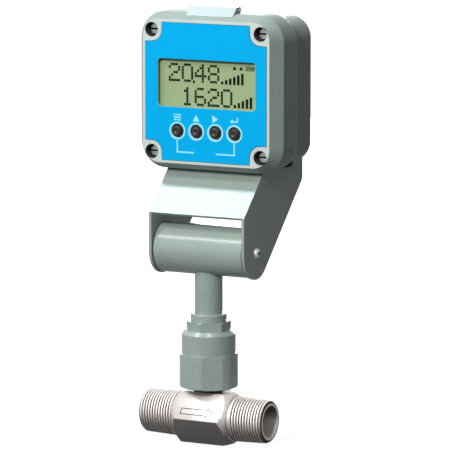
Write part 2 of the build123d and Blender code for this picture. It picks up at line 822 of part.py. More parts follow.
def make_enclosure_lid():
    """Front shell: bevelled face, window, key holes, deep screw wells and board posts."""
    face_outline = RectangleRounded(face_width, face_height, face_corner_radius)
    lid = loft([front_plane(face_y) * face_outline, rounded(0, lid_edge_y)], ruled=True)
    lid = lid + extrude(rounded(0, lid_edge_y), amount=-lid_side_depth)
    slope = face_inset_x / bevel_depth
    inner_front = face_inset_x - slope * lid_wall
    inner_front = inner_front + lid_wall * math.sqrt(1 + slope ** 2)
    hollow = loft([rounded(inner_front, lid_inner_y), rounded(lid_rim_wall, lid_edge_y)], ruled=True)
    hollow = hollow + extrude(rounded(lid_rim_wall, lid_edge_y), amount=-lid_side_depth)
    for place in lid_screw_places():
        hollow = hollow - rod("y", lid_boss_d / 2, lid_inner_y - overrun, seam_y + overrun, place)
    for place in board_post_places():
        hollow = hollow - rod("y", board_post_d / 2, lid_inner_y - overrun, board_front_y, place)
    lid = lid - hollow
    for place in lid_screw_places():
        lid = lid - rod("y", counterbore_d / 2, face_y - overrun, screw_floor_y, place)
        lid = lid - rod("y", screw_d / 2 + hole_gap, screw_floor_y - overrun, seam_y + overrun,
                        place)
    for place in board_post_places():
        lid = lid - rod("y", board_screw_d / 2 + fit_gap,
                        board_back_y - board_screw_length - screw_tip_gap,
                        board_front_y + overrun, place)
    lid = lid - slab(window_sketch(), face_y - overrun, lid_inner_y + overrun)
    lid = lid - slab(window_sketch(lens_ledge), lens_front_y, lid_inner_y + overrun)
    for x, z in key_places():
        throat_r = key_throat_d / 2
        lid = lid - rod("y", throat_r, face_y - overrun, lid_inner_y + overrun, (x, z))
        mouth = Cone(key_hole_d / 2, throat_r, key_cone_depth,
                     align=(Align.CENTER, Align.CENTER, Align.MIN))
        lid = lid - Pos(x, face_y, z) * Rot(-90, 0, 0) * mouth
    return lid


def make_lid_screws():
    """Four slotted cheese-head screws at the bottom of the lid's wells."""
    screws = []
    head_y = screw_floor_y - lid_screw_head_height
    for place in lid_screw_places():
        head = rod("y", lid_screw_head_d / 2, head_y, screw_floor_y, place)
        head = chamfer(head.edges().group_by(Axis.Y)[0], screw_edge_chamfer)
        shank = rod("y", screw_d / 2, screw_floor_y - overrun, screw_floor_y + lid_screw_length,
                    place)
        slot = Pos(place[0], head_y, place[1]) * Box(
            lid_screw_head_d + overrun, 2 * screw_slot_depth, screw_slot_width)
        screws.append(head + shank - slot)
    return Compound(children=screws)


def make_face_label():
    """Overlay on the lid's face, cut back round the screws, window and keys."""
    label = Rectangle(label_width, label_height)
    far = label_width
    for x, z in corner_places(lid_screw_pitch_x, lid_screw_pitch_z):
        sx = math.copysign(1, x)
        sz = math.copysign(1, z)
        label = label - Pos(x, z) * Circle(label_notch_radius)
        label = label - Pos(x + sx * far / 2, z) * Rectangle(far, 2 * label_notch_radius)
        label = label - Pos(x, z + sz * far / 2) * Rectangle(2 * label_notch_radius, far)
    label = label - window_sketch()
    for x, z in key_places():
        label = label - Pos(x, z - box_centre_z) * Circle(key_hole_d / 2)
    return slab(label, face_y - label_thickness, face_y)


def make_window_lens():
    """Clear window let into the lid from behind."""
    return slab(window_sketch(lens_ledge - fit_gap), lens_front_y, lens_back_y)


def make_lcd_module():
    """Display glass in its frame, between the window and the board."""
    outline = Pos(window_offset_x, window_offset_z) * Rectangle(display_width, display_height)
    module = slab(outline, display_front_y, board_front_y)
    return chamfer(module.edges().filter_by(Axis.Y), display_corner_chamfer)


def make_display_board():
    """Circuit board behind the display, notched round the lid's corner bosses."""
    board = Rectangle(board_width, board_height)
    for x, z in corner_places(lid_screw_pitch_x, lid_screw_pitch_z):
        board = board - Pos(x, z) * Circle(lid_boss_d / 2 + board_boss_gap)
    for x, z in board_post_places():
        board = board - Pos(x, z - box_centre_z) * Circle(board_screw_d / 2 + hole_gap)
    return slab(board, board_front_y, board_back_y)


def make_board_screws():
    """Four small screws that hold the board to the lid's posts."""
    screws = []
    for place in board_post_places():
        head = rod("y", board_screw_head_d / 2, board_back_y,
                   board_back_y + board_screw_head_height, place)
        shank = rod("y", board_screw_d / 2, board_back_y - board_screw_length,
                    board_back_y + overrun, place)
        screws.append(head + shank)
    return Compound(children=screws)


def make_key(place):
    """One key: round plunger with a dished cap, and a flange behind the lid's wall."""
    plunger_r = key_throat_d / 2 - key_gap
    cap_r = key_cap_d / 2
    dish_r = key_dish_d / 2
    front = face_y + key_recess
    cap_front = front - key_cap_height
    flange_front = lid_inner_y + run_gap
    flange_back = flange_front + key_flange_height
    tail_back = flange_back + key_tail
    dish_floor = cap_front + key_dish_depth
    outline = (ThreePointArc((0, dish_floor), (dish_r / 2, dish_floor - key_dish_depth / 4),
                             (dish_r, cap_front))
               + Polyline((dish_r, cap_front), (cap_r - key_cap_chamfer, cap_front),
                          (cap_r, cap_front + key_cap_chamfer), (cap_r + key_cap_draft, front),
                          (plunger_r - key_edge, front), (plunger_r, front + key_edge),
                          (plunger_r, flange_front), (key_flange_d / 2, flange_front),
                          (key_flange_d / 2, flange_back), (switch_tip_d / 2, flange_back),
                          (switch_tip_d / 2, tail_back), (0, tail_back), (0, dish_floor)))
    key = revolve(make_face(outline), Axis.Y)
    return Pos(place[0], 0, place[1]) * key


def make_key_switches():
    """Four push switches on the board, each a little behind its key."""
    switches = []
    tip_y = lid_inner_y + run_gap + key_flange_height + key_tail + key_travel + key_spare
    for x, z in key_places():
        case = Pos(x, board_front_y - switch_height / 2, z) * Box(
            switch_width, switch_height, switch_width)
        tip = rod("y", switch_tip_d / 2, tip_y, board_front_y - overrun, (x, z))
        switches.append(case + tip)
    return Compound(children=switches)


def make_battery():
    """Round lithium cell across the back of the board."""
    centre = (board_back_y + cradle_floor + battery_d / 2, box_centre_z + battery_offset_z)
    half = battery_length / 2
    cell = rod("x", battery_d / 2, -half, half - battery_cap_length, centre)
    return cell + rod("x", battery_cap_d / 2, 0, half, centre)


def make_battery_holder():
    """Open cradle on the board that holds the cell by its ends and sides."""
    length = battery_length + 2 * cradle_wall
    width = battery_d + 2 * cradle_wall
    depth = cradle_floor + battery_d / 2
    block = Pos(0, board_back_y + depth / 2, box_centre_z + battery_offset_z) * Box(
        length, depth, width)
    centre = (board_back_y + cradle_floor + battery_d / 2, box_centre_z + battery_offset_z)
    return block - rod("x", battery_d / 2 + fit_gap, -battery_length / 2, battery_length / 2,
                       centre)


def make_terminal_block():
    """Screw terminal block for the pickup and output wires."""
    centre_z = box_centre_z + terminal_offset_z
    block = Pos(0, board_back_y + terminal_depth / 2, centre_z) * Box(
        terminal_width, terminal_depth, terminal_height)
    for i in range(terminal_ways):
        x = (i - (terminal_ways - 1) / 2) * terminal_pitch
        block = block - rod("y", terminal_hole_d / 2,
                            board_back_y + terminal_depth - terminal_hole_depth,
                            board_back_y + terminal_depth + overrun,
                            (x, centre_z + terminal_screw_rise))
        bottom = centre_z - terminal_height / 2
        block = block - rod("z", terminal_hole_d / 2, bottom - overrun,
                            bottom + terminal_hole_depth, (x, board_back_y + terminal_hole_d))
    return block


# Cable gland

def make_cable_gland():
    """Gland body through the box's floor, with its flange and domed nut outside."""
    at_gland = (0, gland_y)
    bottom = base_bottom_z - gland_flange_height
    tip = bottom - gland_dome_height
    flange = extrude(Pos(0, gland_y, bottom) * RegularPolygon(gland_flange_d / 2, 6),
                     amount=gland_flange_height)
    dome = rod("z", gland_dome_d / 2, tip, bottom, at_gland)
    dome = chamfer(dome.edges().group_by(Axis.Z)[0], gland_dome_chamfer)
    neck_top = base_bottom_z + base_wall + gland_nut_thickness + gland_neck_spare
    gland = flange + dome + rod("z", gland_thread_d / 2, bottom, neck_top, at_gland)
    gland = gland - rod("z", gland_cable_d / 2 + gland_bore_gap, tip - overrun,
                        neck_top + overrun, at_gland)
    return gland - rod("z", gland_seal_d / 2, tip + gland_seal_recess, bottom, at_gland)


def make_gland_locknut():
    """Thin nut inside the box that clamps the gland to the floor."""
    bottom = base_bottom_z + base_wall
    nut = extrude(Pos(0, gland_y, bottom) * RegularPolygon(gland_nut_d / 2, 6),
                  amount=gland_nut_thickness)
    return nut - rod("z", gland_thread_d / 2 + fit_gap, bottom - overrun,
                     bottom + gland_nut_thickness + overrun, (0, gland_y))


def make_gland_seal():
    """Rubber insert that grips the cable inside the gland."""
    bottom = base_bottom_z - gland_flange_height
    tip = bottom - gland_dome_height
    return tube("z", gland_seal_d / 2 - fit_gap, gland_cable_d / 2, tip + gland_seal_recess,
                bottom, (0, gland_y))


# Lid hinge

def make_hinge_block():
    """Lid half of the hinge: sloping front, round barrel behind, slot for the base's lug."""
    slope = face_inset_z / bevel_depth
    foot_z = box_top_z - slope * (lid_edge_y - hinge_front_y)
    top_z = box_top_z + hinge_barrel_d
    top_y = hinge_front_y + hinge_nose_length
    profile = make_face(Polyline((hinge_front_y, foot_z), (top_y, top_z), (hinge_pin_y, top_z))
                        + ThreePointArc((hinge_pin_y, top_z),
                                        (hinge_pin_y + hinge_barrel_d / 2, hinge_pin_z),
                                        (hinge_pin_y, box_top_z))
                        + Polyline((hinge_pin_y, box_top_z), (lid_edge_y, box_top_z),
                                   (hinge_front_y, foot_z)))
    block = extrude(Plane.YZ.offset(-hinge_width / 2) * profile, amount=hinge_width)
    slot_front = hinge_pin_y - hinge_barrel_d / 2 - hinge_lug_gap
    slot_back = hinge_pin_y + hinge_barrel_d
    slot = Pos(0, (slot_front + slot_back) / 2, hinge_pin_z) * Box(
        hinge_slot_width, slot_back - slot_front, 4 * hinge_barrel_d)
    block = block - slot
    return block - rod("x", hinge_pin_d / 2 + fit_gap, -hinge_width, hinge_width,
                       (hinge_pin_y, hinge_pin_z))


def make_hinge_lug():
    """Base half of the hinge: an eye round the pin on a foot behind the seam."""
    half = hinge_slot_width / 2 - hinge_lug_gap
    eye_r = hinge_barrel_d / 2 - hinge_lug_gap / 2
    arm_top = hinge_pin_z + eye_r
    lug_back = seam_y + hinge_lug_length
    lug = rod("x", eye_r, -half, half, (hinge_pin_y, hinge_pin_z))
    arm_bottom = box_top_z + hinge_lug_gap / 2
    profile = make_face(Polyline(
        (hinge_pin_y, arm_bottom), (seam_y + hinge_lug_gap, arm_bottom),
        (seam_y + hinge_lug_gap, box_top_z), (lug_back, box_top_z),
        (lug_back, box_top_z + eye_r), (seam_y + hinge_lug_gap, arm_top), (hinge_pin_y, arm_top),
        close=True))
    lug = lug + extrude(Plane.YZ.offset(-half) * profile, amount=2 * half)
    return lug - rod("x", hinge_pin_d / 2 + fit_gap, -half - overrun, half + overrun,
                     (hinge_pin_y, hinge_pin_z))


def make_hinge_pin():
    """Pin through both halves of the hinge, standing out a little at each end."""
    reach = hinge_width / 2 + hinge_pin_stand_out
    return rod("x", hinge_pin_d / 2, -reach, reach, (hinge_pin_y, hinge_pin_z))


def build_parts():
    """Every sub-part by its node name."""
    parts = {
        "meter_body": make_meter_body(),
        "inlet_vanes": make_vanes(-1),
        "outlet_vanes": make_vanes(1),
        "retaining_rings": make_retaining_rings(),
        "rotor_shaft": make_rotor_shaft(),
        "rotor": make_rotor(),
        "rotor_bushes": make_rotor_bushes(),
        "port_seal": make_port_seal(),
        "coupling": make_coupling(),
        "magnetic_pickup": make_magnetic_pickup(),
        "pickup_nut": make_pickup_nut(),
        "swivel_nut": make_swivel_nut(),
        "stem": make_stem(),
        "stem_packing": make_stem_packing(),
        "stem_collar": make_stem_collar(),
        "pivot_drum": make_pivot_drum(),
        "drum_plugs": make_drum_plugs(),
        "drum_grommet": make_drum_grommet(),
        "friction_washers": make_friction_washers(),
        "pivot_screws": make_pivot_screws(),
        "bracket_web": make_bracket_web(),
        "bracket_plate_left": make_bracket_plate(-1),
        "bracket_plate_right": make_bracket_plate(1),
        "bracket_screws": make_bracket_screws(),
        "enclosure_base": make_enclosure_base(),
        "lid_gasket": make_lid_gasket(),
        "lid_inserts": make_lid_inserts(),
        "enclosure_lid": make_enclosure_lid(),
        "lid_screws": make_lid_screws(),
        "face_label": make_face_label(),
        "window_lens": make_window_lens(),
        "lcd_module": make_lcd_module(),
        "display_board": make_display_board(),
        "board_screws": make_board_screws(),
        "key_switches": make_key_switches(),
        "battery": make_battery(),
        "battery_holder": make_battery_holder(),
        "terminal_block": make_terminal_block(),
        "cable_gland": make_cable_gland(),
        "gland_locknut": make_gland_locknut(),
        "gland_seal": make_gland_seal(),
        "hinge_block": make_hinge_block(),
        "hinge_lug": make_hinge_lug(),
        "hinge_pin": make_hinge_pin(),
    }
    for name, place in zip(key_names, key_places()):
        parts[name] = make_key(place)
    return parts


os.makedirs("parts", exist_ok=True)
for node, shape in build_parts().items():
    export_step(shape, "parts/" + node + ".step")
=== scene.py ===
import json
import math

import bmesh
import bpy
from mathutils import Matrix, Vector


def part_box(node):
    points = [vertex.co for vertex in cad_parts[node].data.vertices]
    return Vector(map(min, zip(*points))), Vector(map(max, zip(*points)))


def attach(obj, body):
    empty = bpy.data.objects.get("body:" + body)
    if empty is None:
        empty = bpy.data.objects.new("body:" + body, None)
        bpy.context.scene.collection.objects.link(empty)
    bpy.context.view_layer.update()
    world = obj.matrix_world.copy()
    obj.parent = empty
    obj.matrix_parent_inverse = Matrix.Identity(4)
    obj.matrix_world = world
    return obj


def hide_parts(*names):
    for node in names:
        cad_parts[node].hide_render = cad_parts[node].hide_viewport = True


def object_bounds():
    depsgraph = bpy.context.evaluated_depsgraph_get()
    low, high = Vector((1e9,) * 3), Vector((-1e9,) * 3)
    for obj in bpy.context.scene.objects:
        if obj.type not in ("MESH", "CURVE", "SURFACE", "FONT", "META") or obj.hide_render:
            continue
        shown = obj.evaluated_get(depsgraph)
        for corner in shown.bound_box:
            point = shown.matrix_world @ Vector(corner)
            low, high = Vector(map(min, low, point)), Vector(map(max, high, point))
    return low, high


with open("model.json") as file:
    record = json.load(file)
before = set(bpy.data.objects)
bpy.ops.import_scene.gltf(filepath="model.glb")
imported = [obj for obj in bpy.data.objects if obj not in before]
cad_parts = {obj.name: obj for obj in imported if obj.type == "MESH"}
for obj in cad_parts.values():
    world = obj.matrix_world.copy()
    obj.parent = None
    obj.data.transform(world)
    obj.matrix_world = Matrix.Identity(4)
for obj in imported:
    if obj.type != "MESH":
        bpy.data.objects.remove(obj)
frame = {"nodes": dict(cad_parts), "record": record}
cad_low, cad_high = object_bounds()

# Flow monitor: materials, printed graphics, pipe threads, camera and light round the frame.
# X runs along the pipe, -Y is towards the reader of the display, Z is up. Blender works in
# metres; sizes here are in millimetres, and turn into metres by MM.

MM = 0.001
nodes = frame["nodes"]


def srgb(red, green, blue):
    """Colour from 8-bit screen values, as the linear colour that shaders take."""
    def linear(value):
        value = value / 255
        return value / 12.92 if value <= 0.04045 else ((value + 0.055) / 1.055) ** 2.4
    return (linear(red), linear(green), linear(blue), 1.0)


def box_mm(node):
    """Lowest and highest corner of a node, in millimetres."""
    low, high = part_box(node)
    return low / MM, high / MM


def middle_mm(node):
    """Middle of a node's box, in millimetres."""
    low, high = box_mm(node)
    return tuple((a + b) / 2 for a, b in zip(low, high))


def front_mm(node):
    """Y of a node's front, in millimetres."""
    return box_mm(node)[0].y


# Sizes that both a material and a mesh go by

BODY_HIGH = box_mm("meter_body")[1]
TAPER = 1 / 32
THREAD_START = 24.0
THREAD_END = BODY_HIGH.x
THREAD_LARGE_R = 16.7


# Shader nodes

MIX_FACTOR = 0
MIX_FIRST = 6
MIX_SECOND = 7
MIX_RESULT = 2
BEVEL_SAMPLES = 4


def new_material(name):
    """New node material, with its node tree and its shader."""
    material = bpy.data.materials.new(name)
    material.use_nodes = True
    return material, material.node_tree, material.node_tree.nodes["Principled BSDF"]


def add_node(tree, kind, **settings):
    """Node with its properties, or the values of its inputs, set by name."""
    node = tree.nodes.new(kind)
    for key, value in settings.items():
        if key in node.bl_rna.properties:
            setattr(node, key, value)
        else:
            node.inputs[key.replace("_", " ")].default_value = value
    return node


def feed(tree, entry, value):
    """Link a socket to an input, or set the input to a number or a colour."""
    if isinstance(value, bpy.types.NodeSocket):
        tree.links.new(value, entry)
    else:
        entry.default_value = value


def source_of(entry):
    """Socket that an input is linked to."""
    return entry.links[0].from_socket


def math_node(tree, operation, *values):
    """Result of one operation on one to three values; each is a socket or a number."""
    node = add_node(tree, "ShaderNodeMath", operation=operation)
    for entry, value in zip(node.inputs, values):
        feed(tree, entry, value)
    return node.outputs["Value"]


def parts_of(tree, vector):
    """X, Y and Z of a vector."""
    parts = tree.nodes.new("ShaderNodeSeparateXYZ")
    tree.links.new(vector, parts.inputs["Vector"])
    return parts.outputs["X"], parts.outputs["Y"], parts.outputs["Z"]


def object_parts(tree):
    """X, Y and Z of a place, in the object's own coordinates."""
    return parts_of(tree, tree.nodes.new("ShaderNodeTexCoord").outputs["Object"])


def length_of(tree, first, second):
    """Length of a vector in a plane, from its two parts."""
    return math_node(tree, "SQRT", math_node(tree, "ADD", math_node(tree, "POWER", first, 2.0),
                                             math_node(tree, "POWER", second, 2.0)))


def object_places(tree, stretch=(1, 1, 1)):
    """Object coordinates, stretched for grain."""
    places = tree.nodes.new("ShaderNodeTexCoord")
    mapping = add_node(tree, "ShaderNodeMapping", Scale=stretch)
    tree.links.new(places.outputs["Object"], mapping.inputs["Vector"])
    return mapping.outputs["Vector"]


def noise(tree, places, scale, detail=2.0, roughness=0.5):
    """Noise value from 0 to 1 at a scale per metre."""
    node = add_node(tree, "ShaderNodeTexNoise", Scale=scale, Detail=detail, Roughness=roughness)
    tree.links.new(places, node.inputs["Vector"])
    return node.outputs["Fac"]


def spread(tree, value, low, high, start=0.3, end=0.7):
    """Value from the range start to end, spread over the range low to high."""
    node = add_node(tree, "ShaderNodeMapRange", From_Min=start, From_Max=end,
                    To_Min=low, To_Max=high)
    tree.links.new(value, node.inputs["Value"])
    return node.outputs["Result"]


def blend_colours(tree, factor, first, second):
    """Colour between two, by a value from 0 to 1; each is a socket or a fixed colour."""
    node = add_node(tree, "ShaderNodeMix", data_type="RGBA")
    feed(tree, node.inputs[MIX_FIRST], first)
    feed(tree, node.inputs[MIX_SECOND], second)
    tree.links.new(factor, node.inputs[MIX_FACTOR])
    return node.outputs[MIX_RESULT]


def scaled(tree, colour, share):
    """Colour times a value."""
    node = add_node(tree, "ShaderNodeVectorMath", operation="SCALE")
    tree.links.new(colour, node.inputs[0])
    tree.links.new(share, node.inputs["Scale"])
    return node.outputs["Vector"]


def tone_by(tree, value, colour, low, high, dark):
    """Colour darkened to a share of itself where a value runs from high down to low."""
    return scaled(tree, colour, spread(tree, value, dark, 1.0, low, high))


def paint_over(tree, shader, mask, colour):
    """A second colour where a mask is 1."""
    base = shader.inputs["Base Color"]
    tree.links.new(blend_colours(tree, mask, source_of(base), colour), base)


def shade_of(colour, factor):
    """The same colour, lighter or darker."""
    return tuple(min(1.0, c * factor) for c in colour[:3]) + (1.0,)


def rough_surface(tree, shader, height, strength, distance, edge=0.0):
    """Bump from a height, over edges that are rounded by a small radius."""
    bump = add_node(tree, "ShaderNodeBump", Strength=strength, Distance=distance)
    tree.links.new(height, bump.inputs["Height"])
    if edge:
        rounding = add_node(tree, "ShaderNodeBevel", samples=BEVEL_SAMPLES, Radius=edge)
        tree.links.new(rounding.outputs["Normal"], bump.inputs["Normal"])
    tree.links.new(bump.outputs["Normal"], shader.inputs["Normal"])


# Kinds of surface

MOTTLE_SCALE = 45
GRAIN_SHARE = 0.6
COAT_SPREAD = 0.05
COAT_HEIGHT = 0.05 * MM


def coated(name, colour, rough, grain, edge=0.25 * MM, contrast=0.06, bump=0.12, specular=0.5):
    """Sprayed or moulded surface: faint mottling, fine orange peel, uneven gloss."""
    material, tree, shader = new_material(name)
    places = object_places(tree)
    mottle = spread(tree, noise(tree, places, MOTTLE_SCALE, detail=4), 0, 1)
    fine = noise(tree, places, grain, detail=3, roughness=0.6)
    blend = math_node(tree, "MULTIPLY_ADD", spread(tree, fine, 0, 1), GRAIN_SHARE,
                      math_node(tree, "MULTIPLY", mottle, 1 - GRAIN_SHARE))
    base = blend_colours(tree, blend, shade_of(colour, 1 - contrast),
                         shade_of(colour, 1 + contrast))
    gloss = spread(tree, fine, rough - COAT_SPREAD, rough + COAT_SPREAD)
    tree.links.new(base, shader.inputs["Base Color"])
    tree.links.new(gloss, shader.inputs["Roughness"])
    shader.inputs["Specular IOR Level"].default_value = specular
    rough_surface(tree, shader, fine, bump, COAT_HEIGHT, edge)
    return material


# Tool lines per metre, along X, Y and Z
COARSE_TURNED = (1500, 1500, 1500)
FINE_TURNED = (2400, 2400, 2400)
TURNED_ALONG_X = (2600, 90, 90)
CLOUD_SCALE = 60
CLOUD_DARK = 0.9
CLOUD_LIGHT = 1.06
STEEL_SPREAD = 0.04
STEEL_BUMP = 0.1


def turned_steel(name, colour, rough, stretch, metallic=0.75, edge=0.15 * MM, height=0.02 * MM):
    """Machined steel: fine tool lines, with a slight change of tone."""
    material, tree, shader = new_material(name)
    lines = noise(tree, object_places(tree, stretch), 1, detail=3, roughness=0.7)
    cloud = spread(tree, noise(tree, object_places(tree), CLOUD_SCALE, detail=4), 0, 1)
    base = blend_colours(tree, cloud, shade_of(colour, CLOUD_DARK),
                         shade_of(colour, CLOUD_LIGHT))
    gloss = spread(tree, lines, rough - STEEL_SPREAD, rough + STEEL_SPREAD)
    tree.links.new(base, shader.inputs["Base Color"])
    tree.links.new(gloss, shader.inputs["Roughness"])
    shader.inputs["Metallic"].default_value = metallic
    rough_surface(tree, shader, lines, STEEL_BUMP, height, edge)
    return material


# Between two heights over the crest, the root's colour turns dark with painted shade; between
# two others, its gloss turns dull
DARK_ROOT = (-1.2 * MM, -0.5 * MM)
DULL_ROOT = (-0.5 * MM, -0.1 * MM)
ROOT_SHADE = 0.02
ROOT_DULLING = 0.35
CREST_DULLING = 0.2
# Painted highlight: share by which the thread's colour is made lighter
THREAD_HIGHLIGHT = 0.26
BORE_RIM = 13.6
# Between two values of the normal's Z, the colour darkens towards the underside: painted shade
UNDERSIDE = (-0.45, 0.1)
UNDERSIDE_SHADE = 0.2


def threaded_steel(name, colour, rough):
    """Pipe body: turned stainless, with painted shade in the thread roots and on the underside,
    and a painted highlight over the thread.
    """
    material = turned_steel(name, colour, rough, TURNED_ALONG_X, metallic=0.6, edge=0.0,
                            height=0.006 * MM)
    tree = material.node_tree
    shader = tree.nodes["Principled BSDF"]
    x, y, z = object_parts(tree)
    along = math_node(tree, "ABSOLUTE", x)
    radius = length_of(tree, y, z)
    cone = math_node(tree, "MULTIPLY_ADD", along, -TAPER,
                     (THREAD_LARGE_R + TAPER * THREAD_START) * MM)
    below = math_node(tree, "SUBTRACT", cone, radius)
    in_thread = math_node(tree, "GREATER_THAN", along, THREAD_START * MM)
    outside = math_node(tree, "GREATER_THAN", radius, BORE_RIM * MM)
    on_thread = math_node(tree, "MULTIPLY", in_thread, outside)
    height = math_node(tree, "SUBTRACT", 0.0, math_node(tree, "MULTIPLY", on_thread, below))
    # Painted shade: the colour darkens deeper in the thread roots
    shaded_colour = tone_by(tree, height, source_of(shader.inputs["Base Color"]), *DARK_ROOT, ROOT_SHADE)
    # Painted highlight: the colour over the thread is lighter
    painted_highlight = math_node(tree, "MULTIPLY_ADD", on_thread, THREAD_HIGHLIGHT, 1.0)
    root = spread(tree, height, 1.0, 0.0, *DULL_ROOT)
    dulled = math_node(tree, "MULTIPLY_ADD", root, ROOT_DULLING,
                       source_of(shader.inputs["Roughness"]))
    tree.links.new(math_node(tree, "MULTIPLY_ADD", in_thread, CREST_DULLING, dulled),
                   shader.inputs["Roughness"])
    # Painted shade on faces that look down
    normal = tree.nodes.new("ShaderNodeNewGeometry").outputs["True Normal"]
    upwards = parts_of(tree, normal)[2]
    shaded_colour = tone_by(tree, upwards, scaled(tree, shaded_colour, painted_highlight), *UNDERSIDE, UNDERSIDE_SHADE)
    tree.links.new(shaded_colour, shader.inputs["Base Color"])
    return material


SCREW_HEAD_R = 4.3
WELL_R = 5.6
FACE_DEPTH = 0.25
SLOT_DEPTH = 0.3
HEAD_RIM = 0.6
SOCKET_R = 1.5


def corner_places(tree):
    """Y of a place, and its distance from the axis of the nearest lid screw."""
    low, high = box_mm("lid_screws")
    half_x = high.x - SCREW_HEAD_R
    half_z = (high.z - low.z) / 2 - SCREW_HEAD_R
    x, y, z = object_parts(tree)
    across = math_node(tree, "SUBTRACT", math_node(tree, "ABSOLUTE", x), half_x * MM)
    lift = math_node(tree, "SUBTRACT", z, middle_mm("lid_screws")[2] * MM)
    up = math_node(tree, "SUBTRACT", math_node(tree, "ABSOLUTE", lift), half_z * MM)
    return y, length_of(tree, across, up)


def faced_paint(name, face_y):
    """Box paint, paler on the flat front face with a painted sheen, and with painted shade
    inside the screw wells.
    """
    material = coated(name, **BOX_FINISH)
    tree = material.node_tree
    shader = tree.nodes["Principled BSDF"]
    depth, radius = corner_places(tree)
    in_well = math_node(tree, "LESS_THAN", radius, WELL_R * MM)
    on_face = math_node(tree, "LESS_THAN", depth, (face_y + FACE_DEPTH) * MM)
    # Painted shade inside the screw wells
    paint_over(tree, shader, in_well, WELL_SHADE)
    # Painted sheen: the flat front face is paler
    paint_over(tree, shader, on_face, FACE_SHEEN)
    return material


def slotted_steel(name, colour, head_y):
    """Steel of the lid screws, with painted shade in the slot and round the head's rim."""
    material = turned_steel(name, colour, rough=0.3, stretch=FINE_TURNED, metallic=0.8)
    tree = material.node_tree
    depth, radius = corner_places(tree)
    below = math_node(tree, "GREATER_THAN", depth, (head_y + SLOT_DEPTH) * MM)
    rim = math_node(tree, "GREATER_THAN", radius, (SCREW_HEAD_R - HEAD_RIM) * MM)
    # Painted shade in the slot and round the head's rim
    paint_over(tree, tree.nodes["Principled BSDF"], math_node(tree, "MAXIMUM", below, rim),
               RECESS_SHADE)
    return material


def socket_steel(name, colour, node):
    """Steel of a row of screws along X, with painted shade inside the socket on their axis."""
    material = turned_steel(name, colour, rough=0.45, stretch=FINE_TURNED, metallic=0.4)
    tree = material.node_tree
    middle = middle_mm(node)
    x, y, z = object_parts(tree)
    radius = length_of(tree, math_node(tree, "SUBTRACT", y, middle[1] * MM),
                       math_node(tree, "SUBTRACT", z, middle[2] * MM))
    in_socket = math_node(tree, "LESS_THAN", radius, SOCKET_R * MM)
    # Painted shade inside the socket
    paint_over(tree, tree.nodes["Principled BSDF"], in_socket, RECESS_SHADE)
    return material


WINDOW_TINT = srgb(250, 253, 250)
WINDOW_ROUGH = 0.06
WINDOW_IOR = 1.2
HAZE_SCALE = 30
HAZE_BUMP = 0.05
HAZE_HEIGHT = 0.02 * MM


def clear_window(name):
    """Clear sheet that lets the display show through; its outer face mirrors a little."""
    material, tree, shader = new_material(name)
    tree.nodes.remove(shader)
    through = add_node(tree, "ShaderNodeBsdfTransparent", Color=WINDOW_TINT)
    gloss = add_node(tree, "ShaderNodeBsdfGlossy", Roughness=WINDOW_ROUGH)
    fresnel = add_node(tree, "ShaderNodeFresnel", IOR=WINDOW_IOR)
    haze = noise(tree, object_places(tree), HAZE_SCALE, detail=3)
    rough_surface(tree, gloss, haze, HAZE_BUMP, HAZE_HEIGHT)
    facing = tree.nodes.new("ShaderNodeNewGeometry")
    outside = math_node(tree, "SUBTRACT", 1.0, facing.outputs["Backfacing"])
    mirrored = math_node(tree, "MULTIPLY", fresnel.outputs["Fac"], outside)
    mix = tree.nodes.new("ShaderNodeMixShader")
    tree.links.new(mirrored, mix.inputs["Fac"])
    tree.links.new(through.outputs["BSDF"], mix.inputs[1])
    tree.links.new(gloss.outputs["BSDF"], mix.inputs[2])
    tree.links.new(mix.outputs["Shader"], tree.nodes["Material Output"].inputs["Surface"])
    return material


# Materials, by the record's slots, and those of the printed and engraved pieces

